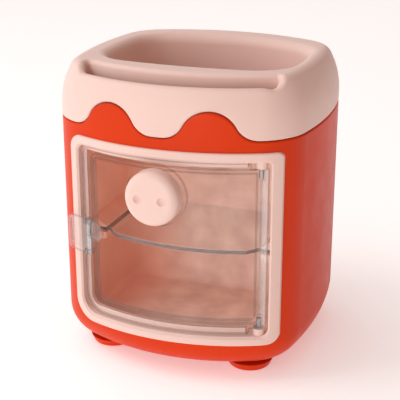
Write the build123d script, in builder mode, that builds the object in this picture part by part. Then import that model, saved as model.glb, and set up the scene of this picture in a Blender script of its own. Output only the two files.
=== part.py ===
from build123d import *

import os
from math import atan2, degrees, hypot, radians, sin, sqrt, tan

# Pen holder with a dripping top, a small cabinet and a clear hinged door.
# Millimetres, +Z up, front towards -Y, feet on Z = 0.

# Outer plan: a rounded square of eight tangent arcs
width = 110.0
depth = 108.3
front_bow = 18.76
side_bow = 9.26
corner_radius = 24.0

# Heights
overall_height = 127.0
base_height = 3.5
cap_height = 23.6

# Body shell
wall = 2.4
base_rounding = 14.8
seam_gap = 0.35
seam_rounding = 0.7
hump_rise = 11.3
hump_foot = 0.45
hump_gap = 4.2
side_flat = 15.9
lip_thickness = 1.6
lip_rise = 4.0
lip_gap = 0.5

# Cap
cap_skin = 2.8
slope_inset = 5.5
slope_drop = 10.75
shoulder_radius = 33.0
rim_radius = 4.7
inner_rim_radius = 4.4
pocket_left_inset = 16.2
pocket_right_inset = 12.9
pocket_rear_inset = 19.0
pocket_wall = 2.0
pocket_front_radius = 200.0
pocket_corner = 16.0
divider = 13.3
slot_inset = 6.9
slot_span = 7.2
slot_end_span = 5.5
slot_margin = 14.5
slot_shift = 2.0
slot_front_corner = 6.0
slot_rear_corner = 1.0
slot_step = 1.8
slot_edge = 2.0
roof_gap = 0.1
well_gap = 0.4
core_bond = 1.0

# Feet and screws
foot_margin_x = 23.2
foot_margin_y = 24.55
foot_radius = 8.7
foot_flare = 1.5
foot_edge = 1.5
spigot_radius = 6.0
spigot_height = 2.6
boss_radius = 9.0
boss_rise = 3.1
screw_radius = 1.5
screw_head_radius = 2.8
screw_head_height = 2.0
head_recess = 3.0
head_gap = 0.4
screw_bite = 5.4
screw_end_gap = 0.4
cross_length = 3.4
cross_width = 0.8
cross_depth = 0.8
post_radius = 3.0
slip = 0.05

# Door frame
door_shift = 3.0
frame_margin = 10.4
frame_top_margin = 4.3
frame_low = 16.9
frame_proud = 1.2
frame_top_corner = 5.5
frame_low_corner = 10.0
hinge_side_tightness = 0.45
frame_overlap = 2.2
frame_fit = 0.2
frame_depth = 5.0
frame_edge = 0.8
stile = 4.0
top_rail = 3.9
low_rail = 4.0
opening_top_corner = 3.0
opening_low_corner = 7.0
opening_chamfer = 1.0
stop_width = 2.6
stop_depth = 1.8
stop_gap = 0.4
stop_corner = 1.0
stop_hinge_gap = 5.0

# Liner and shelf
well_zone = 47.1
liner_wall = 1.6
liner_fit = 0.2
liner_corner = 10.0
liner_edge = 3.0
liner_step = 1.3
floor_cover = 2.1
rail_width = 5.9
rail_set_back = 19.0
rail_bond = 0.5
rail_top = 0.6
rail_top_slope = 4.4
rail_bottom = 2.7
rail_bottom_slope = 1.5
groove_depth = 4.0
shelf_rise = 32.3
shelf_thickness = 2.0
shelf_gap = 0.2
shelf_side_gap = 0.3
shelf_end_gap = 0.6
shelf_set_back = 10.5
shelf_sweep = 5.0
shelf_step = 5.5
shoulder_set_back = 21.5
shelf_corner = 2.0
shelf_edge = 0.4

# Door
door_side_gap = 1.4
door_end_gap = 0.8
door_set_back = 0.4
door_thickness = 2.0
door_corner = 4.0
door_low_corner = 8.0
bead_inset = 3.2
bead_width = 1.6
bead_depth = 3.0
bead_corner = 1.8
bond = 0.5
hinge_inset = 4.2
hinge_depth = 2.5
hinge_gap = 0.3
lug_radius = 2.1
lug_height = 5.0
lug_clear = 1.0
frame_lug_radius = 2.4
frame_lug_height = 2.8
pin_radius = 1.0
pin_hold = 4.0
pin_reach = 2.7
pin_end_gap = 0.3
pin_chamfer = 0.25

# Knob
knob_drop = 18.7
knob_radius = 11.25
knob_height = 6.6
knob_rounding = 3.0
knob_boss_radius = 12.8
knob_boss_rise = 0.9
dimple_spacing = 10.0
dimple_radius = 2.1
dimple_depth = 1.2
knob_screw_head = 3.0
knob_screw_head_height = 1.8
knob_screw_rounding = 0.8
knob_screw_reach = 4.5
knob_screw_end_gap = 0.3

# Latch clip
latch_rise = 36.0
latch_height = 15.2
latch_inset = 5.2
latch_pin_offset = 1.7
barrel_radius = 1.6
barrel_height = 11.4
ear_height = 1.6
ear_root_radius = 1.2
ear_root_step = 1.0
latch_pin_radius = 0.8
plate_gap = 0.5
plate_thickness = 1.6
plate_overhang = 1.8
plate_corner = 3.0
hook_gap = 0.5
hook_height = 10.0
hook_clear = 0.6
pad_radius = 4.2
pad_offset = 4.1
pad_rise = 3.4
pad_gap = 2.4
web_half = 2.0
ring_width = 0.6
ring_pitch = 1.4
ring_depth = 0.4

# Positions that follow from the sizes above
knob_standout = knob_boss_rise + knob_height
plan_y = knob_standout / 2
half_width = width / 2
half_depth = depth / 2
front_y = plan_y - half_depth
seam_height = overall_height - cap_height
front_radius = (half_width**2 + front_bow**2) / (2 * front_bow)
side_radius = (half_depth**2 + side_bow**2) / (2 * side_bow)
front_centre = front_radius - half_depth
side_centre = half_width - side_radius
frame_half = half_width - frame_margin
frame_high = seam_height - frame_top_margin
opening_half = frame_half - stile
opening_low = frame_low + low_rail
opening_high = frame_high - top_rail
door_half = opening_half - door_side_gap
door_low = opening_low + door_end_gap
door_high = opening_high - door_end_gap
door_back = door_set_back + door_thickness
floor_height = base_height + wall
boss_top = floor_height + boss_rise
screw_top = boss_top + screw_bite
spigot_top = base_height + spigot_height
liner_half = opening_half - liner_fit
liner_low = screw_top + floor_cover
liner_high = opening_high + liner_step
cabinet_depth = depth - well_zone
liner_rear = front_y + cabinet_depth
liner_front_inset = frame_depth + liner_fit
pocket_floor = liner_high + liner_wall + roof_gap + pocket_wall
pocket_depth = overall_height - pocket_floor
slot_floor = pocket_floor + slot_step
slot_depth = overall_height - slot_floor
well_floor = screw_top + pocket_wall
well_front = liner_rear + liner_wall + well_gap
well_depth = overall_height - well_floor
knob_z = frame_high - knob_drop
latch_z = opening_low + latch_rise
hump_width = (width - 2 * side_flat - hump_gap) / 2
hump_x = (hump_width + hump_gap) / 2
reach = 2 * depth

# Slot arcs: the rear wall follows the slot's width at its middle and at its ends
slot_half = half_width - slot_margin
slot_front_radius = front_radius - slot_inset
slot_front_sag = slot_front_radius - sqrt(slot_front_radius**2 - slot_half**2)
slot_rear_sag = slot_front_sag + slot_end_span - slot_span
slot_rear_radius = (slot_half**2 + slot_rear_sag**2) / (2 * slot_rear_sag)
slot_rear = front_y + slot_inset + slot_span
pocket_front = slot_rear + divider

# Corner arc centre of the outer plan, in the right front quarter
centre_gap = hypot(side_centre, front_centre)
front_leg = front_radius - corner_radius
side_leg = side_radius - corner_radius
along = (front_leg**2 - side_leg**2 + centre_gap**2) / (2 * centre_gap)
across = sqrt(front_leg**2 - along**2)
corner_x = (along * side_centre + across * front_centre) / centre_gap
corner_y = front_centre - (along * front_centre - across * side_centre) / centre_gap
front_half_angle = degrees(atan2(corner_x, front_centre - corner_y))
side_half_angle = degrees(atan2(-corner_y, corner_x - side_centre))
corner_angle = 90 - front_half_angle - side_half_angle


def plan_line(inset=0.0):
    """Outer plan as eight tangent arcs, moved inwards by the inset."""
    near_centre = plan_y + front_centre
    far_centre = plan_y - front_centre
    CenterArc((0, near_centre), front_radius - inset, -90 - front_half_angle, 2 * front_half_angle)
    CenterArc((0, far_centre), front_radius - inset, 90 - front_half_angle, 2 * front_half_angle)
    CenterArc((side_centre, plan_y), side_radius - inset, -side_half_angle, 2 * side_half_angle)
    CenterArc((-side_centre, plan_y), side_radius - inset, 180 - side_half_angle, 2 * side_half_angle)
    near_y = plan_y + corner_y
    far_y = plan_y - corner_y
    round_inset = corner_radius - inset
    CenterArc((corner_x, near_y), round_inset, -90 + front_half_angle, corner_angle)
    CenterArc((corner_x, far_y), round_inset, side_half_angle, corner_angle)
    CenterArc((-corner_x, far_y), round_inset, 90 + front_half_angle, corner_angle)
    CenterArc((-corner_x, near_y), round_inset, 180 + side_half_angle, corner_angle)


def plan_solid(inset, low, high):
    """Upright solid on the outer plan between two heights."""
    with BuildPart() as solid:
        with BuildSketch(Plane.XY.offset(low)):
            with BuildLine():
                plan_line(inset)
            make_face()
        extrude(amount=high - low)
    return solid.part


def plan_band(outer, inner, low=0.0, high=overall_height):
    """Upright wall on the outer plan between two insets."""
    with BuildPart() as band:
        with BuildSketch(Plane.XY.offset(low)):
            with BuildLine():
                plan_line(outer)
            make_face()
            with BuildLine():
                plan_line(inner)
            make_face(mode=Mode.SUBTRACT)
        extrude(amount=high - low)
    return band.part


def skin_inset(point):
    """Distance of a point inwards from the outer plan."""
    x = abs(point.X)
    y = abs(point.Y - plan_y)
    if x <= tan(radians(front_half_angle)) * (y + front_centre):
        return front_radius - hypot(x, y + front_centre)
    if y <= tan(radians(side_half_angle)) * (x - side_centre):
        return side_radius - hypot(x - side_centre, y)
    return corner_radius - hypot(x - corner_x, y + corner_y)


def front_at(x, inset=0.0):
    """Y of the curved front at a given X and inset."""
    if abs(x) <= (front_radius - inset) * sin(radians(front_half_angle)):
        return plan_y + front_centre - sqrt((front_radius - inset) ** 2 - x**2)
    return plan_y + corner_y - sqrt((corner_radius - inset) ** 2 - (abs(x) - corner_x) ** 2)


def upright_panel(half, low, high, low_corner, high_corner):
    """Face in the XZ plane, centred on the door, with tighter corners on its hinge side."""
    with BuildSketch(Plane.XZ) as panel:
        with Locations((door_shift, (low + high) / 2)):
            Rectangle(2 * half, high - low)
        for row, corner in ((0, low_corner), (-1, high_corner)):
            fillet(panel.vertices().group_by(Axis.Y)[row].sort_by(Axis.X)[-1], corner * hinge_side_tightness)
            fillet(panel.vertices().group_by(Axis.Y)[row].sort_by(Axis.X)[0], corner)
    return panel.sketch


def upright_box(left, right, low, high):
    """Plain rectangle in the XZ plane."""
    with BuildSketch(Plane.XZ) as box:
        with Locations(((left + right) / 2, (low + high) / 2)):
            Rectangle(right - left, high - low)
    return box.sketch


def seam_face(level, edge):
    """Face in the XZ plane between the wavy seam and a level edge."""
    half = hump_width / 2
    turn = degrees(2 * atan2(hump_rise, half))
    foot = hump_foot * half / sin(radians(turn))
    crown = (1 - hump_foot) * half / sin(radians(turn))
    with BuildSketch(Plane.XZ) as face:
        with BuildLine():
            feet_ends = []
            for middle in (-hump_x, hump_x):
                rise = JernArc((middle - half, level), (1, 0), foot, turn)
                top = JernArc(rise @ 1, rise % 1, crown, -2 * turn)
                fall = JernArc(top @ 1, top % 1, foot, turn)
                feet_ends += [rise @ 0, fall @ 1]
            Line(feet_ends[1], feet_ends[2])
            Polyline(
                feet_ends[0],
                (-width, level),
                (-width, edge),
                (width, edge),
                (width, level),
                feet_ends[3],
            )
        make_face()
    return face.sketch


def dome(shrink):
    """Cap form with its sloped, rounded shoulder, drawn in by the shrink."""
    root = seam_height - slope_drop
    top = overall_height - shrink
    with BuildPart() as form:
        with BuildSketch(Plane.XY.offset(root)):
            with BuildLine():
                plan_line(shrink)
            make_face()
        extrude(amount=top - root)
        lid = form.faces().sort_by(Axis.Z)[-1]
        chamfer(lid.edges(), slope_inset, slope_drop, reference=lid)
        rings = form.edges().filter_by(lambda edge: abs((edge @ 0).Z - (edge @ 1).Z) < 0.001)
        levels = rings.group_by(Axis.Z)
        fillet(levels[1], shoulder_radius - shrink)
        lid = form.faces().sort_by(Axis.Z)[-1]
        fillet(lid.edges(), rim_radius - shrink)
    return form.part


def pocket_face(height, grow=0.0):
    """Rear compartment outline, grown outwards for its walls."""
    rear_inset = pocket_rear_inset - grow
    front = pocket_front - grow
    with BuildSketch(Plane.XY.offset(height)) as face:
        with Locations((side_centre, plan_y)):
            Circle(side_radius - pocket_right_inset + grow)
        with Locations((-side_centre, plan_y)):
            Circle(side_radius - pocket_left_inset + grow, mode=Mode.INTERSECT)
        with Locations((0, plan_y - front_centre)):
            Circle(front_radius - rear_inset, mode=Mode.INTERSECT)
        with Locations((0, front + pocket_front_radius + grow)):
            Circle(pocket_front_radius + grow, mode=Mode.INTERSECT)
        fillet(face.vertices(), pocket_corner + grow)
    return face.sketch


foot_x = half_width - foot_margin_x
foot_y = half_depth - foot_margin_y
front_spots = [(-foot_x, plan_y - foot_y), (foot_x, plan_y - foot_y)]
rear_spots = [(-foot_x, plan_y + foot_y), (foot_x, plan_y + foot_y)]
foot_spots = front_spots + rear_spots
upwards = (Align.CENTER, Align.CENTER, Align.MIN)
downwards = (Align.CENTER, Align.CENTER, Align.MAX)
behind_up = (Align.CENTER, Align.MIN, Align.MIN)
behind_down = (Align.CENTER, Align.MIN, Align.MAX)
hinge_x = door_shift + opening_half - hinge_inset
hinge_y = front_at(hinge_x, hinge_depth)
latch_x = door_shift - opening_half + latch_inset
latch_y = front_at(latch_x, -latch_pin_offset)
seat_y = front_y - knob_boss_rise

# Body shell
with BuildPart() as body_hollow:
    add(plan_solid(wall, floor_height, overall_height))
    fillet(body_hollow.faces().sort_by(Axis.Z)[0].edges(), base_rounding - wall)
    with Locations(*foot_spots):
        Cylinder(boss_radius, boss_top, align=upwards, mode=Mode.SUBTRACT)

with BuildPart() as seat_lip:
    lip_inset = cap_skin + lip_gap
    lip_low = seam_height - lip_rise
    add(plan_band(wall / 2, lip_inset + lip_thickness, lip_low, seam_height - lip_gap))
    add(plan_band(lip_inset, lip_inset + lip_thickness, lip_low, seam_height + lip_rise))
    with Locations((0, front_y, seam_height)):
        Box(2 * width, depth / 2, depth, mode=Mode.SUBTRACT)

with BuildPart() as body_shell:
    add(plan_solid(0, base_height, overall_height))
    fillet(body_shell.faces().sort_by(Axis.Z)[0].edges(), base_rounding)
    extrude(seam_face(seam_height, 2 * overall_height), amount=reach, mode=Mode.SUBTRACT)
    with Locations((0, 0, seam_height)):
        Box(2 * width, depth, overall_height, align=behind_up, mode=Mode.SUBTRACT)
    seam_edges = body_shell.edges().filter_by(
        lambda edge: abs(skin_inset(edge @ 0.5)) < 0.01
        and abs((edge @ 0.5).Z - seam_height) < 0.01
    )
    fillet(seam_edges, seam_rounding)
    add(body_hollow.part, mode=Mode.SUBTRACT)
    add(seat_lip.part)
    hole_step = frame_overlap - frame_fit
    frame_hole = upright_panel(
        frame_half - hole_step,
        frame_low + hole_step,
        frame_high - hole_step,
        frame_low_corner - hole_step,
        frame_top_corner - hole_step,
    )
    extrude(frame_hole, amount=reach, mode=Mode.SUBTRACT)
    with Locations(*foot_spots):
        Cylinder(spigot_radius + slip, spigot_top, align=upwards, mode=Mode.SUBTRACT)
        Cylinder(screw_radius + 2 * slip, screw_top, align=upwards, mode=Mode.SUBTRACT)

# Cap: shoulder form, compartment walls, then the three hollows
with BuildPart() as cap_core:
    with BuildSketch(Plane.XY.offset(slot_floor - pocket_wall)):
        with BuildLine():
            plan_line(wall + seam_gap)
        make_face()
        with Locations((0, front_y)):
            Rectangle(2 * (slot_half + slot_shift + pocket_wall), depth, mode=Mode.INTERSECT)
        with Locations((0, pocket_front + pocket_wall + pocket_front_radius)):
            Circle(pocket_front_radius, mode=Mode.SUBTRACT)
    extrude(amount=slot_depth + pocket_wall)
    extrude(pocket_face(pocket_floor - pocket_wall, pocket_wall), amount=pocket_depth + pocket_wall)
    add(dome(core_bond), mode=Mode.INTERSECT)

with BuildPart() as well_core:
    extrude(pocket_face(well_floor - pocket_wall, pocket_wall), amount=pocket_floor - well_floor)
    with Locations((0, well_front, 0)):
        Box(2 * width, depth, overall_height, align=behind_up, mode=Mode.INTERSECT)
    with Locations(*rear_spots):
        with Locations((0, 0, boss_top)):
            Cylinder(post_radius, well_floor - boss_top, align=upwards)

with BuildPart() as well_hollow:
    extrude(pocket_face(well_floor), amount=well_depth)
    with Locations((0, well_front + pocket_wall, 0)):
        Box(2 * width, depth, overall_height, align=behind_up, mode=Mode.INTERSECT)

with BuildPart() as drip_cap:
    add(dome(0))
    cap_level = seam_height + seam_gap
    extrude(seam_face(cap_level, 0), amount=reach, mode=Mode.SUBTRACT)
    with Locations((0, 0, cap_level)):
        Box(2 * width, depth, overall_height, align=behind_down, mode=Mode.SUBTRACT)
    drip_edges = drip_cap.edges().filter_by(
        lambda edge: skin_inset(edge @ 0.5) < seam_rounding
        and abs((edge @ 0.5).Z - cap_level) < 0.05
    )
    fillet(drip_edges, seam_rounding)
    add(dome(cap_skin), mode=Mode.SUBTRACT)
    add(cap_core.part)
    add(well_core.part)
    extrude(pocket_face(pocket_floor), amount=2 * pocket_depth, mode=Mode.SUBTRACT)
    add(well_hollow.part, mode=Mode.SUBTRACT)
    with BuildSketch(Plane.XY.offset(slot_floor)) as slot:
        with Locations((0, plan_y + front_centre)):
            Circle(slot_front_radius)
        with Locations((0, slot_rear + slot_rear_radius)):
            Circle(slot_rear_radius, mode=Mode.SUBTRACT)
        with Locations((slot_shift, front_y)):
            Rectangle(2 * slot_half, depth, mode=Mode.INTERSECT)
        for place, corner in ((0, slot_front_corner), (-1, slot_rear_corner)):
            left = slot.vertices().filter_by(lambda point: point.X < 0).sort_by(Axis.Y)
            right = slot.vertices().filter_by(lambda point: point.X > 0).sort_by(Axis.Y)
            fillet([left[place], right[place]], corner)
    extrude(amount=2 * slot_depth, mode=Mode.SUBTRACT)
    rim_edges = drip_cap.edges().filter_by(
        lambda edge: abs((edge @ 0.5).Z - overall_height) < 0.01
        and skin_inset(edge @ 0.5) > min(pocket_left_inset, pocket_right_inset) - 0.1
        and (edge @ 0.5).Y > pocket_front - 0.1
    )
    fillet(rim_edges, inner_rim_radius)
    slot_edges = drip_cap.edges().filter_by(
        lambda edge: (edge @ 0.5).Z > overall_height - slot_inset
        and (edge @ 0.5).Y < slot_rear + slot_rear_sag + 0.1
        and skin_inset(edge @ 0.5) > slot_edge
        and abs((edge @ 0.5).X - slot_shift) < slot_half + 0.01
    )
    fillet(slot_edges, slot_edge)
    with Locations(*foot_spots):
        Cylinder(screw_radius, screw_top, align=upwards, mode=Mode.SUBTRACT)

# Liner of the cabinet
with BuildPart() as liner_hollow:
    with BuildSketch(Plane.XY.offset(liner_low)) as hollow_plan:
        with Locations((door_shift, liner_rear)):
            Rectangle(2 * liner_half, depth, align=(Align.CENTER, Align.MAX))
        fillet(hollow_plan.vertices().group_by(Axis.Y)[-1], liner_corner)
    extrude(amount=liner_high - liner_low)
    level_edges = liner_hollow.edges().filter_by(
        lambda edge: abs((edge @ 0).Z - (edge @ 1).Z) < 0.001
        and (edge @ 0.5).Y > liner_rear - depth + 0.1
    )
    fillet(level_edges, liner_edge)

shelf_level = opening_low + shelf_rise
groove_low = shelf_level - shelf_gap
groove_high = shelf_level + shelf_thickness + shelf_gap
rail_face = liner_half - rail_width
groove_end = rail_face + groove_depth
with BuildPart() as shelf_rails:
    rail_root = door_shift + liner_half + rail_bond
    rail_tip = door_shift + rail_face
    groove_root = door_shift + groove_end
    with BuildSketch(Plane.XZ.offset(-liner_rear)):
        with BuildLine():
            Polyline(
                (rail_root, groove_high + rail_top + rail_top_slope),
                (rail_tip, groove_high + rail_top),
                (rail_tip, groove_high),
                (groove_root, groove_high),
                (groove_root, groove_low),
                (rail_tip, groove_low),
                (rail_tip, groove_low - rail_bottom),
                (rail_root, groove_low - rail_bottom - rail_bottom_slope),
                close=True,
            )
        make_face()
        mirror(about=Plane.YZ.offset(door_shift))
    extrude(amount=cabinet_depth - rail_set_back)
    add(plan_solid(liner_front_inset, 0, overall_height), mode=Mode.INTERSECT)

with BuildPart() as cabinet_liner:
    with BuildSketch(Plane.XY.offset(liner_low - liner_wall)) as liner_plan:
        with Locations((door_shift, liner_rear + liner_wall)):
            Rectangle(2 * (liner_half + liner_wall), depth, align=(Align.CENTER, Align.MAX))
        fillet(liner_plan.vertices().group_by(Axis.Y)[-1], liner_corner + liner_wall)
        with BuildLine():
            plan_line(liner_front_inset)
        make_face(mode=Mode.INTERSECT)
    extrude(amount=liner_high - liner_low + 2 * liner_wall)
    add(liner_hollow.part, mode=Mode.SUBTRACT)
    add(shelf_rails.part)
    with Locations(*front_spots):
        with Locations((0, 0, boss_top)):
            Cylinder(post_radius, liner_low - boss_top, align=upwards)
        Cylinder(screw_radius, screw_top, align=upwards, mode=Mode.SUBTRACT)

# Clear shelf in the liner rails
shelf_half = groove_end - shelf_side_gap
shelf_front_half = rail_face - shelf_step
shelf_front = front_y + shelf_set_back
shelf_turn = shelf_front + shelf_sweep
shelf_shoulder = front_y + shoulder_set_back
shelf_rear = liner_rear - shelf_end_gap
with BuildPart() as shelf:
    with BuildSketch(Plane.XY.offset(shelf_level)) as shelf_plan:
        with BuildLine():
            ThreePointArc(
                (door_shift - shelf_front_half, shelf_turn),
                (door_shift, shelf_front),
                (door_shift + shelf_front_half, shelf_turn),
            )
            Polyline(
                (door_shift + shelf_front_half, shelf_turn),
                (door_shift + rail_face, shelf_shoulder),
                (door_shift + shelf_half, shelf_shoulder),
                (door_shift + shelf_half, shelf_rear),
                (door_shift - shelf_half, shelf_rear),
                (door_shift - shelf_half, shelf_shoulder),
                (door_shift - rail_face, shelf_shoulder),
                (door_shift - shelf_front_half, shelf_turn),
            )
        make_face()
        fillet(shelf_plan.vertices().group_by(Axis.Y)[-1], liner_corner)
        fillet(shelf_plan.vertices().group_by(Axis.Y)[0], shelf_corner)
    extrude(amount=shelf_thickness)
    front_edges = shelf.edges().filter_by(Plane.XY).filter_by(
        lambda edge: (edge @ 0.5).Y < shelf_turn + 0.1
    )
    fillet(front_edges, shelf_edge)

# Door frame: flange over the shell, spigot through it, stops and hinge bosses
with BuildPart() as frame_flange:
    extrude(
        upright_panel(frame_half, frame_low, frame_high, frame_low_corner, frame_top_corner),
        amount=reach,
    )
    add(plan_band(-frame_proud, -slip), mode=Mode.INTERSECT)
    flange_edges = frame_flange.edges().filter_by(
        lambda edge: abs(skin_inset(edge @ 0.5) + frame_proud) < 0.01
        and abs((edge @ 0).Z - (edge @ 1).Z) > frame_edge
        and abs(abs((edge @ 0.5).X - door_shift) - frame_half) < 0.01
    )
    fillet(flange_edges, frame_edge)

with BuildPart() as frame_spigot:
    extrude(
        upright_panel(
            frame_half - frame_overlap,
            frame_low + frame_overlap,
            frame_high - frame_overlap,
            frame_low_corner - frame_overlap,
            frame_top_corner - frame_overlap,
        ),
        amount=reach,
    )
    add(plan_band(-frame_proud / 2, frame_depth), mode=Mode.INTERSECT)

with BuildPart() as frame_opening:
    extrude(
        upright_panel(opening_half, opening_low, opening_high, opening_low_corner, opening_top_corner),
        amount=reach,
    )

with BuildPart() as frame_stops:
    add(frame_opening.part)
    extrude(
        upright_panel(
            opening_half - stop_width,
            opening_low + stop_width,
            opening_high - stop_width,
            opening_low_corner - stop_width,
            stop_corner,
        ),
        amount=reach,
        mode=Mode.SUBTRACT,
    )
    stop_inset = door_back + stop_gap
    add(plan_band(stop_inset, stop_inset + stop_depth), mode=Mode.INTERSECT)
    extrude(
        upright_box(hinge_x - stop_hinge_gap, width, 0, overall_height),
        amount=reach,
        mode=Mode.SUBTRACT,
    )

with BuildPart() as door_frame:
    add(frame_flange.part)
    add(frame_spigot.part)
    add(frame_opening.part, mode=Mode.SUBTRACT)
    mouth_edges = door_frame.edges().filter_by(
        lambda edge: abs(skin_inset(edge @ 0.5) + frame_proud) < 0.01
        and abs((edge @ 0.5).X - door_shift) < opening_half + 0.1
        and opening_low - 0.1 < (edge @ 0.5).Z < opening_high + 0.1
    )
    chamfer(mouth_edges, opening_chamfer)
    add(frame_stops.part)
    with Locations((hinge_x, hinge_y, opening_high - frame_lug_height)):
        Cylinder(frame_lug_radius, frame_lug_height + bond, align=upwards)
        Cylinder(pin_radius + slip, pin_reach + pin_end_gap, align=upwards, mode=Mode.SUBTRACT)
    with Locations((hinge_x, hinge_y, opening_low + frame_lug_height)):
        Cylinder(frame_lug_radius, frame_lug_height + bond, align=downwards)
        Cylinder(pin_radius + slip, pin_reach + pin_end_gap, align=downwards, mode=Mode.SUBTRACT)

# Clear door with its inner bead, hinge lugs, knob boss and latch ears
lug_high = opening_high - frame_lug_height - hinge_gap
lug_low = opening_low + frame_lug_height + hinge_gap
with BuildPart() as door_bead:
    extrude(
        upright_panel(
            door_half - bead_inset,
            door_low + bead_inset,
            door_high - bead_inset,
            door_low_corner - bead_inset,
            bead_corner,
        ),
        amount=reach,
    )
    bead_inner = bead_inset + bead_width
    extrude(
        upright_panel(
            door_half - bead_inner,
            door_low + bead_inner,
            door_high - bead_inner,
            door_low_corner - bead_inner,
            bead_corner / 2,
        ),
        amount=reach,
        mode=Mode.SUBTRACT,
    )
    add(plan_band(door_back - bond, door_back + bead_depth), mode=Mode.INTERSECT)

with BuildPart() as knob_boss:
    with BuildSketch(Plane.XZ.offset(-seat_y)):
        with Locations((0, knob_z)):
            Circle(knob_boss_radius)
    extrude(amount=-half_depth / 2)
    add(plan_solid(door_back - bond, 0, overall_height), mode=Mode.SUBTRACT)

ear_root_x = latch_x + ear_root_step
ear_root_y = front_at(ear_root_x, door_back / 2)
ear_low = latch_z - barrel_height / 2 - hinge_gap - ear_height
with BuildPart() as latch_ears:
    with BuildSketch(Plane.XY.offset(ear_low)):
        with Locations((latch_x, latch_y)):
            Circle(barrel_radius)
        with Locations((ear_root_x, ear_root_y)):
            Circle(ear_root_radius)
        make_hull()
    extrude(amount=ear_height)
    mirror(about=Plane.XY.offset(latch_z))

lug_side = hinge_x - frame_lug_radius - lug_clear
with BuildPart() as door_panel:
    extrude(
        upright_panel(door_half, door_low, door_high, door_low_corner, door_corner),
        amount=reach,
    )
    add(plan_band(door_set_back, door_back), mode=Mode.INTERSECT)
    add(door_bead.part)
    extrude(upright_box(lug_side, width, lug_high, overall_height), amount=reach, mode=Mode.SUBTRACT)
    extrude(upright_box(lug_side, width, 0, lug_low), amount=reach, mode=Mode.SUBTRACT)
    with Locations((hinge_x, hinge_y, lug_high)):
        Cylinder(lug_radius, lug_height, align=downwards)
        Cylinder(pin_radius, pin_hold, align=downwards, mode=Mode.SUBTRACT)
    with Locations((hinge_x, hinge_y, lug_low)):
        Cylinder(lug_radius, lug_height, align=upwards)
        Cylinder(pin_radius, pin_hold, align=upwards, mode=Mode.SUBTRACT)
    add(knob_boss.part)
    add(latch_ears.part)
    with Locations((latch_x, latch_y, 0)):
        Cylinder(latch_pin_radius, overall_height, align=upwards, mode=Mode.SUBTRACT)
    with BuildSketch(Plane.XZ):
        with Locations((0, knob_z)):
            Circle(screw_radius + slip)
    extrude(amount=reach, mode=Mode.SUBTRACT)

pin_length = pin_hold + hinge_gap + pin_reach
with BuildPart() as hinge_pin_upper:
    with Locations((hinge_x, hinge_y, lug_high - pin_hold)):
        Cylinder(pin_radius, pin_length, align=upwards)
    chamfer(hinge_pin_upper.edges().group_by(Axis.Z)[-1], pin_chamfer)

with BuildPart() as hinge_pin_lower:
    with Locations((hinge_x, hinge_y, lug_low + pin_hold)):
        Cylinder(pin_radius, pin_length, align=downwards)
    chamfer(hinge_pin_lower.edges().group_by(Axis.Z)[0], pin_chamfer)

# Knob on the door and its screw
with BuildPart() as door_knob:
    with BuildSketch(Plane.XZ.offset(-seat_y)):
        with Locations((0, knob_z)):
            Circle(knob_radius)
    extrude(amount=knob_height)
    fillet(door_knob.faces().sort_by(Axis.Y)[0].edges(), knob_rounding)
    dimple_y = seat_y - knob_height + dimple_depth - dimple_radius
    for side in (-1, 1):
        with Locations((side * dimple_spacing / 2, dimple_y, knob_z)):
            Sphere(dimple_radius, mode=Mode.SUBTRACT)
    with BuildSketch(Plane.XZ.offset(-seat_y)):
        with Locations((0, knob_z)):
            Circle(screw_radius)
    extrude(amount=knob_screw_reach, mode=Mode.SUBTRACT)

head_y = front_at(knob_screw_head, door_back) + slip
with BuildPart() as knob_screw:
    with BuildSketch(Plane.XZ.offset(-head_y)):
        with Locations((0, knob_z)):
            Circle(knob_screw_head)
    extrude(amount=-knob_screw_head_height)
    fillet(knob_screw.faces().sort_by(Axis.Y)[-1].edges(), knob_screw_rounding)
    with BuildSketch(Plane.XZ.offset(-head_y)):
        with Locations((0, knob_z)):
            Circle(screw_radius)
    extrude(amount=head_y - seat_y + knob_screw_reach - knob_screw_end_gap)
    with BuildSketch(Plane.XZ.offset(-head_y - knob_screw_head_height)):
        with Locations((0, knob_z)):
            Rectangle(cross_length, cross_width)
            Rectangle(cross_width, cross_length)
    extrude(amount=cross_depth, mode=Mode.SUBTRACT)

# Latch clip: plate over the frame stile, hook, barrel and thumb pad
frame_left = door_shift - frame_half
plate_low = frame_proud + plate_gap
plate_high = plate_low + plate_thickness
plate_left = frame_left - plate_overhang
plate_right = latch_x - barrel_radius - hinge_gap
barrel_low = latch_z - barrel_height / 2
barrel_high = latch_z + barrel_height / 2
with BuildPart() as latch_plate:
    with BuildSketch(Plane.XZ) as plate_outline:
        with Locations(((plate_left + plate_right) / 2, latch_z)):
            Rectangle(plate_right - plate_left, latch_height)
        fillet(plate_outline.vertices().group_by(Axis.X)[0], plate_corner)
    extrude(amount=reach)
    extrude(upright_box(plate_right - bond, latch_x, barrel_low, barrel_high), amount=reach)
    add(plan_band(-plate_high, -plate_low), mode=Mode.INTERSECT)

with BuildPart() as latch_hook:
    hook_low = latch_z - hook_height / 2
    hook_high = latch_z + hook_height / 2
    extrude(upright_box(plate_left, frame_left - hook_gap, hook_low, hook_high), amount=reach)
    add(plan_band(-plate_high, -hook_clear), mode=Mode.INTERSECT)

pad_x = latch_x + pad_offset
pad_z = latch_z + pad_rise
pad_low = pad_gap - door_set_back
pad_high = pad_low + plate_thickness
with BuildPart() as latch_pad:
    with BuildSketch(Plane.XZ):
        with Locations((pad_x, pad_z)):
            Circle(pad_radius)
    extrude(amount=reach)
    add(plan_band(-pad_high, -pad_low), mode=Mode.INTERSECT)
    ear_side = latch_x + barrel_radius + hinge_gap
    ear_notch = upright_box(ear_side - width, ear_side, barrel_high, overall_height)
    extrude(ear_notch, amount=reach, mode=Mode.SUBTRACT)

with BuildPart() as latch_web:
    extrude(upright_box(latch_x, pad_x, pad_z - web_half, pad_z + web_half), amount=reach)
    add(plan_band(-plate_high, -pad_low), mode=Mode.INTERSECT)

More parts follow.
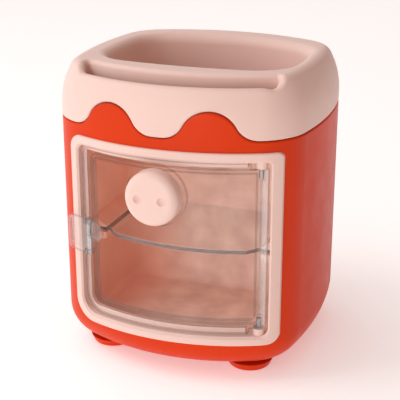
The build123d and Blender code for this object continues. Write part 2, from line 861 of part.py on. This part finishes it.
with BuildPart() as pad_rings:
    with BuildSketch(Plane.XZ):
        with Locations((pad_x, pad_z)):
            for ring in (1, 2):
                ring_radius = pad_radius - ring * ring_pitch
                Circle(ring_radius + ring_width)
                Circle(ring_radius, mode=Mode.SUBTRACT)
    extrude(amount=reach)
    add(plan_band(-pad_high - ring_depth, -pad_high + ring_depth), mode=Mode.INTERSECT)

with BuildPart() as latch_clip:
    with Locations((latch_x, latch_y, latch_z)):
        Cylinder(barrel_radius, barrel_height)
    add(latch_plate.part)
    add(latch_hook.part)
    add(latch_web.part)
    add(latch_pad.part)
    add(pad_rings.part, mode=Mode.SUBTRACT)
    with Locations((latch_x, latch_y, latch_z)):
        Cylinder(latch_pin_radius + slip, overall_height, mode=Mode.SUBTRACT)

with BuildPart() as latch_pin:
    with Locations((latch_x, latch_y, latch_z)):
        Cylinder(latch_pin_radius, barrel_height + 2 * hinge_gap + 2 * ear_height)

# Feet and the screws through them
with BuildPart() as feet:
    with Locations(*foot_spots):
        Cone(foot_radius, foot_radius + foot_flare, base_height - slip, align=upwards)
    fillet(feet.edges().group_by(Axis.Z)[0], foot_edge)
    with Locations(*foot_spots):
        Cylinder(spigot_radius, spigot_top - slip, align=upwards)
        Cylinder(screw_head_radius + head_gap, head_recess, align=upwards, mode=Mode.SUBTRACT)
        Cylinder(screw_radius + 2 * slip, spigot_top, align=upwards, mode=Mode.SUBTRACT)

head_low = head_recess - screw_head_height
with BuildPart() as base_screws:
    with Locations(*foot_spots):
        with Locations((0, 0, head_low)):
            Cylinder(screw_head_radius, screw_head_height, align=upwards)
            Cylinder(screw_radius, screw_top - screw_end_gap - head_low, align=upwards)
            Box(cross_length, cross_width, 2 * cross_depth, mode=Mode.SUBTRACT)
            Box(cross_width, cross_length, 2 * cross_depth, mode=Mode.SUBTRACT)

pieces = {
    "body_shell": body_shell,
    "drip_cap": drip_cap,
    "cabinet_liner": cabinet_liner,
    "shelf": shelf,
    "door_frame": door_frame,
    "door_panel": door_panel,
    "hinge_pin_upper": hinge_pin_upper,
    "hinge_pin_lower": hinge_pin_lower,
    "door_knob": door_knob,
    "knob_screw": knob_screw,
    "latch_clip": latch_clip,
    "latch_pin": latch_pin,
    "feet": feet,
    "base_screws": base_screws,
}

os.makedirs("parts", exist_ok=True)
for name, piece in pieces.items():
    piece.part.label = name
    export_step(piece.part, f"parts/{name}.step")
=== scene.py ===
import math

import bpy
from mathutils import Matrix, Vector


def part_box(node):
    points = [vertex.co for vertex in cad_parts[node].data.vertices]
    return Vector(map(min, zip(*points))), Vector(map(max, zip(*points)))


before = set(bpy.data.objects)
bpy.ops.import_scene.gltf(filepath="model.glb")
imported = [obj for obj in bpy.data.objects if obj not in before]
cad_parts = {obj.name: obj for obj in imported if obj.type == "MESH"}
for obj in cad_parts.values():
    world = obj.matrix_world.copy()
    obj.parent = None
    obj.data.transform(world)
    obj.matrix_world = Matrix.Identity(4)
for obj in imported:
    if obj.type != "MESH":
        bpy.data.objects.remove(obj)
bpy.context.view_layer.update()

bl_info = {
    "name": "Pen holder",
    "version": (1, 0, 0),
    "blender": (4, 5, 0),
    "location": "View3D > Sidebar > Pen holder",
    "description": "Finishes of a drip-topped pen holder with a clear cabinet door",
    "category": "Object",
}

SHELL_LOW, SHELL_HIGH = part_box("body_shell")
PLAN_Y = (SHELL_LOW.y + SHELL_HIGH.y) / 2
FLOOR_REACH = 3.0
SKY_TURN = 0.8
KEY_PLACE = (-0.55, -0.25, 0.85)
KEY_TARGET = (0, 0, 0.07)
KEY_SIZE = 0.50
FILL_PLACE = (-0.05, -0.80, 0.16)
FILL_TARGET = (0, 0, 0.05)
FILL_SIZE = 0.30


class PenHolderFinish(bpy.types.PropertyGroup):
    """Colours and surface values of the plastic and steel"""

    red: bpy.props.FloatVectorProperty(
        name="Body red",
        description="Colour of the outer shell and the feet",
        subtype="COLOR",
        size=3,
        min=0,
        max=1,
        default=(0.70, 0.042, 0.002),
    )
    pink: bpy.props.FloatVectorProperty(
        name="Cap pink",
        description="Colour of the cap, the door frame and the knob",
        subtype="COLOR",
        size=3,
        min=0,
        max=1,
        default=(0.86, 0.62, 0.555),
    )
    liner: bpy.props.FloatVectorProperty(
        name="Liner pink",
        description="Colour of the inside of the cabinet",
        subtype="COLOR",
        size=3,
        min=0,
        max=1,
        default=(0.95, 0.62, 0.52),
    )
    # Painted warm light: the tone that the liner's left side is pushed towards.
    liner_painted_warm_light: bpy.props.FloatVectorProperty(
        name="Liner warm side",
        description="Painted warm light on the liner's left side",
        subtype="COLOR",
        size=3,
        min=0,
        max=1,
        default=(0.86, 0.36, 0.22),
    )
    # Painted glow: strength of the light the liner gives off, though it is no lamp.
    liner_painted_glow: bpy.props.FloatProperty(
        name="Liner glow",
        description="Painted glow given off by the liner",
        min=0,
        max=1,
        default=0.045,
    )
    steel: bpy.props.FloatVectorProperty(
        name="Pin steel",
        description="Colour of the pins and screws",
        subtype="COLOR",
        size=3,
        min=0,
        max=1,
        default=(0.55, 0.55, 0.56),
    )
    clear: bpy.props.FloatVectorProperty(
        name="Clear plastic tint",
        description="Tint of the door, the shelf and the clip",
        subtype="COLOR",
        size=3,
        min=0,
        max=1,
        default=(0.93, 0.92, 0.92),
    )
    # Painted shade: the dark tone put on the cut edges of the clear pieces.
    clear_edge_shade: bpy.props.FloatVectorProperty(
        name="Clear plastic edge",
        description="Painted shade on the cut edges of the clear pieces",
        subtype="COLOR",
        size=3,
        min=0,
        max=1,
        default=(0.52, 0.45, 0.43),
    )
    grain: bpy.props.FloatProperty(
        name="Moulded grain",
        description="Repeats of the fine moulded grain in one metre",
        min=100,
        max=6000,
        default=2400,
    )
    satin: bpy.props.FloatProperty(
        name="Satin roughness",
        description="Mean roughness of the opaque plastic",
        subtype="FACTOR",
        min=0.05,
        max=1,
        default=0.40,
    )


class PenHolderStage(bpy.types.PropertyGroup):
    """Camera and lights around the pen holder"""

    azimuth: bpy.props.FloatProperty(
        name="Camera azimuth",
        description="Turn of the camera to the right of the front",
        subtype="ANGLE",
        default=math.radians(20.366),
    )
    elevation: bpy.props.FloatProperty(
        name="Camera elevation",
        description="Angle of the camera above the horizon",
        subtype="ANGLE",
        default=math.radians(20.007),
    )
    distance: bpy.props.FloatProperty(
        name="Camera distance",
        description="Distance of the camera from its target",
        unit="LENGTH",
        default=0.46711,
    )
    side_step: bpy.props.FloatProperty(
        name="Camera side step",
        description="Shift of the camera to its right",
        unit="LENGTH",
        default=-0.001745,
    )
    target_height: bpy.props.FloatProperty(
        name="Target height",
        description="Height of the point the camera looks at",
        unit="LENGTH",
        default=0.059724,
    )
    lens: bpy.props.FloatProperty(
        name="Lens",
        description="Focal length in millimetres on a sensor 36 mm wide",
        min=10,
        max=300,
        default=94.349,
    )
    floor: bpy.props.FloatVectorProperty(
        name="Floor",
        description="Colour of the floor",
        subtype="COLOR",
        size=3,
        min=0,
        max=1,
        default=(0.95, 0.95, 0.95),
    )
    sky_left: bpy.props.FloatVectorProperty(
        name="Light from the left",
        description="Surrounding light on the left",
        subtype="COLOR",
        size=3,
        min=0,
        max=5,
        default=(1.0, 1.0, 1.0),
    )
    sky_right: bpy.props.FloatVectorProperty(
        name="Light from the right",
        description="Dimmer, warmer surrounding light on the right",
        subtype="COLOR",
        size=3,
        min=0,
        max=5,
        default=(0.24, 0.11, 0.06),
    )
    floor_glow: bpy.props.FloatProperty(
        name="Floor glow",
        description="Light given off by the floor, which keeps it pale",
        min=0,
        max=2,
        default=0.34,
    )
    key_power: bpy.props.FloatProperty(
        name="Key light",
        description="Power of the light above on the left",
        subtype="POWER",
        min=0,
        default=2.3,
    )
    fill_power: bpy.props.FloatProperty(
        name="Front fill",
        description="Power of the low light in front",
        subtype="POWER",
        min=0,
        default=1.2,
    )


def finish_values():
    return bpy.context.scene.pen_holder_finish


def stage_values():
    return bpy.context.scene.pen_holder_stage


def new_group(name, inputs, outputs):
    """Empty shader node group with float inputs and float outputs."""
    group = bpy.data.node_groups.new(name, "ShaderNodeTree")
    for label, value in inputs:
        socket = group.interface.new_socket(label, in_out="INPUT", socket_type="NodeSocketFloat")
        socket.default_value = value
    for label in outputs:
        group.interface.new_socket(label, in_out="OUTPUT", socket_type="NodeSocketFloat")
    entry = group.nodes.new("NodeGroupInput")
    leave = group.nodes.new("NodeGroupOutput")
    return group, entry, leave


def moulded_grain_group():
    """Fine moulded grain and a slow drift of tone over the surface."""
    if "Moulded grain" in bpy.data.node_groups:
        return bpy.data.node_groups["Moulded grain"]
    group, entry, leave = new_group(
        "Moulded grain", [("Scale", 2400.0), ("Drift scale", 26.0)], ["Height", "Drift", "Gloss"]
    )
    link = group.links.new
    place = group.nodes.new("ShaderNodeTexCoord")
    grain = group.nodes.new("ShaderNodeTexNoise")
    grain.inputs["Detail"].default_value = 2.0
    link(place.outputs["Object"], grain.inputs["Vector"])
    link(entry.outputs["Scale"], grain.inputs["Scale"])
    drift = group.nodes.new("ShaderNodeTexNoise")
    drift.inputs["Detail"].default_value = 3.0
    link(place.outputs["Object"], drift.inputs["Vector"])
    link(entry.outputs["Drift scale"], drift.inputs["Scale"])
    handling = group.nodes.new("ShaderNodeTexNoise")
    handling.inputs["Scale"].default_value = 95.0
    handling.inputs["Detail"].default_value = 4.0
    handling.inputs["Distortion"].default_value = 0.6
    link(place.outputs["Object"], handling.inputs["Vector"])
    link(grain.outputs["Fac"], leave.inputs["Height"])
    link(drift.outputs["Fac"], leave.inputs["Drift"])
    link(handling.outputs["Fac"], leave.inputs["Gloss"])
    return group


def new_material(name):
    """Material with a Principled shader, ready for its links."""
    material = bpy.data.materials.new(name)
    material.use_nodes = True
    shader = material.node_tree.nodes["Principled BSDF"]
    return material, material.node_tree.nodes, material.node_tree.links.new, shader


def spread(nodes, link, value, low, high):
    """Map Range node that spreads a noise value between two limits."""
    node = nodes.new("ShaderNodeMapRange")
    node.inputs["From Min"].default_value = 0.3
    node.inputs["From Max"].default_value = 0.7
    node.inputs["To Min"].default_value = low
    node.inputs["To Max"].default_value = high
    link(value, node.inputs["Value"])
    return node.outputs["Result"]


def tinted(nodes, link, factor, colour, darker, lighter):
    """Colour that wanders between a darker and a lighter tone of itself."""
    mix = nodes.new("ShaderNodeMix")
    mix.data_type = "RGBA"
    mix.inputs["A"].default_value = (*[min(1, c * darker) for c in colour], 1)
    mix.inputs["B"].default_value = (*[min(1, c * lighter) for c in colour], 1)
    link(factor, mix.inputs["Factor"])
    return mix.outputs["Result"]


def moulded_plastic(name, colour, roughness, bump=0.05, drift=26.0, tone=0.04):
    """Satin moulded plastic with fine grain and a faint drift of tone."""
    material, nodes, link, shader = new_material(name)
    grain = nodes.new("ShaderNodeGroup")
    grain.node_tree = moulded_grain_group()
    grain.inputs["Scale"].default_value = finish_values().grain
    grain.inputs["Drift scale"].default_value = drift
    wander = spread(nodes, link, grain.outputs["Drift"], 0.0, 1.0)
    link(tinted(nodes, link, wander, colour, 1 - tone, 1 + tone), shader.inputs["Base Color"])
    link(
        spread(nodes, link, grain.outputs["Gloss"], roughness - 0.04, roughness + 0.04),
        shader.inputs["Roughness"],
    )
    relief = nodes.new("ShaderNodeBump")
    relief.inputs["Strength"].default_value = bump
    relief.inputs["Distance"].default_value = 0.0002
    link(grain.outputs["Height"], relief.inputs["Height"])
    link(relief.outputs["Normal"], shader.inputs["Normal"])
    shader.inputs["Specular IOR Level"].default_value = 0.14
    return material


def paint_warm_light_left(material, painted_warm_light_tone, glow):
    """Paints warm light onto a plastic towards its left, in a tone taken from the red shell, and a
    painted glow of the same colour over all of it.
    """
    nodes, link = material.node_tree.nodes, material.node_tree.links.new
    shader = nodes["Principled BSDF"]
    plain = shader.inputs["Base Color"].links[0].from_socket
    place = nodes.new("ShaderNodeTexCoord")
    split = nodes.new("ShaderNodeSeparateXYZ")
    link(place.outputs["Generated"], split.inputs["Vector"])
    # Mask of the painted warm light, strongest at the far left.
    painted_warm_light_mask = nodes.new("ShaderNodeMapRange")
    painted_warm_light_mask.interpolation_type = "SMOOTHSTEP"
    painted_warm_light_mask.inputs["From Min"].default_value = 0.42
    painted_warm_light_mask.inputs["From Max"].default_value = 0.0
    painted_warm_light_mask.inputs["To Max"].default_value = 0.8
    link(split.outputs["X"], painted_warm_light_mask.inputs["Value"])
    warm = nodes.new("ShaderNodeMix")
    warm.data_type = "RGBA"
    warm.inputs["B"].default_value = (*painted_warm_light_tone, 1)
    link(painted_warm_light_mask.outputs["Result"], warm.inputs["Factor"])
    link(plain, warm.inputs["A"])
    link(warm.outputs["Result"], shader.inputs["Base Color"])
    # Painted glow: the liner gives off its own colour as light.
    link(warm.outputs["Result"], shader.inputs["Emission Color"])
    shader.inputs["Emission Strength"].default_value = glow


def front_only(nodes, link, across, place):
    """Keeps the painted edge shade at the front of a piece; its far edges stay clear."""
    split = nodes.new("ShaderNodeSeparateXYZ")
    link(place.outputs["Generated"], split.inputs["Vector"])
    far = nodes.new("ShaderNodeMapRange")
    far.inputs["From Min"].default_value = 0.25
    far.inputs["From Max"].default_value = 0.32
    link(split.outputs["Y"], far.inputs["Value"])
    clear = nodes.new("ShaderNodeMath")
    clear.operation = "MAXIMUM"
    link(across, clear.inputs[0])
    link(far.outputs["Result"], clear.inputs[1])
    return clear.outputs["Value"]


def clear_plastic(name, axis, face, rim, edge, tone, roughness, front=False):
    """Clear polished plastic: see-through faces, a painted highlight at each fold, painted shade on
    the cut edges.

    The normal along the piece's thin axis tells its faces from its folds and edges;
    face, rim and edge are their covers. The light band at the folds is a painted highlight,
    and tone darkens the edge colour into painted shade.
    """
    material, nodes, link, shader = new_material(name)
    values = finish_values()
    grain = nodes.new("ShaderNodeGroup")
    grain.node_tree = moulded_grain_group()
    grain.inputs["Scale"].default_value = 700.0
    grain.inputs["Drift scale"].default_value = 40.0
    place = nodes.new("ShaderNodeTexCoord")
    split = nodes.new("ShaderNodeSeparateXYZ")
    link(place.outputs["Normal"], split.inputs["Vector"])
    absolute = nodes.new("ShaderNodeMath")
    absolute.operation = "ABSOLUTE"
    link(split.outputs[axis], absolute.inputs[0])
    across = absolute.outputs["Value"]
    if front:
        across = front_only(nodes, link, across, place)
    ramp = nodes.new("ShaderNodeValToRGB")
    # Painted shade: the cut edges get a darkened tone.
    painted_edge_shade = [min(1, c * tone) for c in values.clear_edge_shade]
    # Painted highlight: a white band at the folds stands in for their glints.
    painted_highlight = (1, 1, 1)
    stops = (
        (0.48, painted_edge_shade, edge),
        (0.58, painted_highlight, rim),
        (0.78, painted_highlight, rim),
        (0.90, values.clear, face),
    )
    bands = ramp.color_ramp.elements
    while len(bands) < len(stops):
        bands.new(1.0)
    for band, (at, colour, cover) in zip(bands, stops):
        band.position = at
        band.color = (*colour, cover)
    link(across, ramp.inputs["Fac"])
    haze = nodes.new("ShaderNodeMix")
    haze.data_type = "RGBA"
    haze.blend_type = "MULTIPLY"
    haze.inputs["Factor"].default_value = 1.0
    wander = spread(nodes, link, grain.outputs["Drift"], 0.0, 1.0)
    link(ramp.outputs["Color"], haze.inputs["A"])
    link(tinted(nodes, link, wander, (0.98, 0.98, 0.98), 0.97, 1.02), haze.inputs["B"])
    link(haze.outputs["Result"], shader.inputs["Base Color"])
    link(ramp.outputs["Alpha"], shader.inputs["Alpha"])
    link(
        spread(nodes, link, grain.outputs["Gloss"], roughness * 0.6, roughness * 1.4),
        shader.inputs["Roughness"],
    )
    shader.inputs["IOR"].default_value = 1.49
    return material


def pin_steel(name, colour):
    """Plated steel with fine turning marks around the axis."""
    material, nodes, link, shader = new_material(name)
    place = nodes.new("ShaderNodeTexCoord")
    stretch = nodes.new("ShaderNodeMapping")
    stretch.inputs["Scale"].default_value = (300.0, 300.0, 6000.0)
    link(place.outputs["Object"], stretch.inputs["Vector"])
    turning = nodes.new("ShaderNodeTexNoise")
    turning.inputs["Scale"].default_value = 1.0
    turning.inputs["Detail"].default_value = 2.0
    link(stretch.outputs["Vector"], turning.inputs["Vector"])
    link(tinted(nodes, link, turning.outputs["Fac"], colour, 0.85, 1.1), shader.inputs["Base Color"])
    link(spread(nodes, link, turning.outputs["Fac"], 0.22, 0.36), shader.inputs["Roughness"])
    shader.inputs["Metallic"].default_value = 1.0
    return material


def dress(node, material):
    """Puts one material on a CAD node."""
    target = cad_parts[node]
    target.data.materials.clear()
    target.data.materials.append(material)
    return target


class PENHOLDER_OT_shell(bpy.types.Operator):
    """Finish the red shell and its feet"""

    bl_idname = "penholder.shell"
    bl_label = "Shell and feet"

    def execute(self, context):
        values = finish_values()
        red = moulded_plastic("Red satin plastic", values.red, values.satin, bump=0.04, tone=0.05)
        for node in ("body_shell", "feet"):
            dress(node, red)
        return {"FINISHED"}


class PENHOLDER_OT_cap(bpy.types.Operator):
    """Finish the pale pink cap, the door frame and the knob"""

    bl_idname = "penholder.cap"
    bl_label = "Cap, frame and knob"

    def execute(self, context):
        values = finish_values()
        pink = moulded_plastic("Pink satin plastic", values.pink, values.satin, bump=0.04, tone=0.02)
        for node in ("drip_cap", "door_frame", "door_knob"):
            dress(node, pink)
        return {"FINISHED"}


class PENHOLDER_OT_liner(bpy.types.Operator):
    """Finish the mottled pink liner of the cabinet"""

    bl_idname = "penholder.liner"
    bl_label = "Cabinet liner"

    def execute(self, context):
        values = finish_values()
        liner = moulded_plastic("Mottled liner", values.liner, 0.55, bump=0.12, drift=85.0, tone=0.20)
        # Painted light: warm light on the liner's left side and a glow over the whole liner.
        paint_warm_light_left(liner, values.liner_painted_warm_light, values.liner_painted_glow)
        dress("cabinet_liner", liner)
        return {"FINISHED"}


class PENHOLDER_OT_clear(bpy.types.Operator):
    """Finish the clear door, shelf and clip"""

    bl_idname = "penholder.clear"
    bl_label = "Clear door, shelf and clip"

    def execute(self, context):
        door = clear_plastic(
            "Clear door plastic", "Y", face=0.01, rim=0.50, edge=0.40, tone=0.6, roughness=0.05
        )
        dress("door_panel", door)
        shelf = clear_plastic(
            "Clear shelf plastic",
            "Z",
            face=0.04,
            rim=0.45,
            edge=0.80,
            tone=0.36,
            roughness=0.08,
            front=True,
        )
        dress("shelf", shelf)
        clip = clear_plastic(
            "Clear clip plastic", "Y", face=0.08, rim=0.60, edge=0.40, tone=0.7, roughness=0.08
        )
        dress("latch_clip", clip)
        return {"FINISHED"}


class PENHOLDER_OT_fasteners(bpy.types.Operator):
    """Finish the steel pins and screws"""

    bl_idname = "penholder.fasteners"
    bl_label = "Pins and screws"

    def execute(self, context):
        steel = pin_steel("Plated steel", finish_values().steel)
        for node in ("hinge_pin_upper", "hinge_pin_lower", "knob_screw", "latch_pin", "base_screws"):
            dress(node, steel)
        return {"FINISHED"}


class PENHOLDER_OT_stage(bpy.types.Operator):
    """Set the pale floor, the soft lights and the camera"""

    bl_idname = "penholder.stage"
    bl_label = "Floor, lights and camera"

    def execute(self, context):
        scene = context.scene
        values = stage_values()
        mesh = bpy.data.meshes.new("floor")
        signs = ((-1, -1), (1, -1), (1, 1), (-1, 1))
        corners = [(FLOOR_REACH * x, FLOOR_REACH * y, 0) for x, y in signs]
        mesh.from_pydata(corners, [], [(0, 1, 2, 3)])
        floor = bpy.data.objects.new("floor", mesh)
        scene.collection.objects.link(floor)
        material, nodes, link, shader = new_material("Pale floor")
        noise = nodes.new("ShaderNodeTexNoise")
        noise.inputs["Scale"].default_value = 3.0
        pale = tinted(nodes, link, noise.outputs["Fac"], values.floor, 0.99, 1.01)
        link(pale, shader.inputs["Base Color"])
        shader.inputs["Roughness"].default_value = 0.8
        shader.inputs["Emission Color"].default_value = (1.0, 1.0, 1.0, 1.0)
        shader.inputs["Emission Strength"].default_value = values.floor_glow
        mesh.materials.append(material)

        self.sky(scene, values)
        self.soft_light("Key", KEY_PLACE, KEY_TARGET, KEY_SIZE, values.key_power)
        self.soft_light("Front fill", FILL_PLACE, FILL_TARGET, FILL_SIZE, values.fill_power)

        self.camera(scene, values)
        scene.view_settings.view_transform = "Standard"
        return {"FINISHED"}

    def sky(self, scene, values):
        world = bpy.data.worlds.new("Studio")
        scene.world = world
        world.use_nodes = True
        nodes, link = world.node_tree.nodes, world.node_tree.links.new
        place = nodes.new("ShaderNodeTexCoord")
        split = nodes.new("ShaderNodeSeparateXYZ")
        link(place.outputs["Generated"], split.inputs["Vector"])
        side = nodes.new("ShaderNodeMapRange")
        side.inputs["From Min"].default_value = -SKY_TURN
        side.inputs["From Max"].default_value = SKY_TURN
        link(split.outputs["X"], side.inputs["Value"])
        blend = nodes.new("ShaderNodeMix")
        blend.data_type = "RGBA"
        blend.inputs["A"].default_value = (*values.sky_left, 1)
        blend.inputs["B"].default_value = (*values.sky_right, 1)
        link(side.outputs["Result"], blend.inputs["Factor"])
        link(blend.outputs["Result"], nodes["Background"].inputs["Color"])

    def soft_light(self, name, place, target, size, power):
        data = bpy.data.lights.new(name, "AREA")
        data.shape = "SQUARE"
        data.size = size
        data.energy = power
        light = bpy.data.objects.new(name, data)
        light.location = place
        aim = Vector(target) - Vector(place)
        light.rotation_euler = aim.to_track_quat("-Z", "Y").to_euler()
        bpy.context.scene.collection.objects.link(light)

    def camera(self, scene, values):
        turn, rise = values.azimuth, values.elevation
        back = Vector(
            (math.sin(turn) * math.cos(rise), -math.cos(turn) * math.cos(rise), math.sin(rise))
        )
        right = Vector((math.cos(turn), math.sin(turn), 0))
        up = back.cross(right)
        data = bpy.data.cameras.new("Photo camera")
        data.sensor_fit = "HORIZONTAL"
        data.sensor_width = 36.0
        data.lens = values.lens
        data.clip_start = 0.01
        camera = bpy.data.objects.new("Photo camera", data)
        target = Vector((0, PLAN_Y, values.target_height))
        place = target + back * values.distance + right * values.side_step
        turned = Matrix((right, up, back)).transposed().to_4x4()
        camera.matrix_world = Matrix.Translation(place) @ turned
        scene.collection.objects.link(camera)
        scene.camera = camera


class PENHOLDER_PT_panel(bpy.types.Panel):
    """Steps of the pen holder in the sidebar"""

    bl_idname = "PENHOLDER_PT_panel"
    bl_label = "Pen holder"
    bl_space_type = "VIEW_3D"
    bl_region_type = "UI"
    bl_category = "Pen holder"

    def draw(self, context):
        for step in STEPS:
            self.layout.operator(step.bl_idname)
        for values in (finish_values(), stage_values()):
            for name in values.__annotations__:
                self.layout.prop(values, name)


STEPS = (
    PENHOLDER_OT_shell,
    PENHOLDER_OT_cap,
    PENHOLDER_OT_liner,
    PENHOLDER_OT_clear,
    PENHOLDER_OT_fasteners,
    PENHOLDER_OT_stage,
)
CLASSES = (PenHolderFinish, PenHolderStage, *STEPS, PENHOLDER_PT_panel)


def register():
    for item in CLASSES:
        bpy.utils.register_class(item)
    bpy.types.Scene.pen_holder_finish = bpy.props.PointerProperty(type=PenHolderFinish)
    bpy.types.Scene.pen_holder_stage = bpy.props.PointerProperty(type=PenHolderStage)


def unregister():
    del bpy.types.Scene.pen_holder_stage
    del bpy.types.Scene.pen_holder_finish
    for item in reversed(CLASSES):
        bpy.utils.unregister_class(item)


def main():
    register()
    bpy.ops.penholder.shell()
    bpy.ops.penholder.cap()
    bpy.ops.penholder.liner()
    bpy.ops.penholder.clear()
    bpy.ops.penholder.fasteners()
    bpy.ops.penholder.stage()


if __name__ == "__main__":
    main()
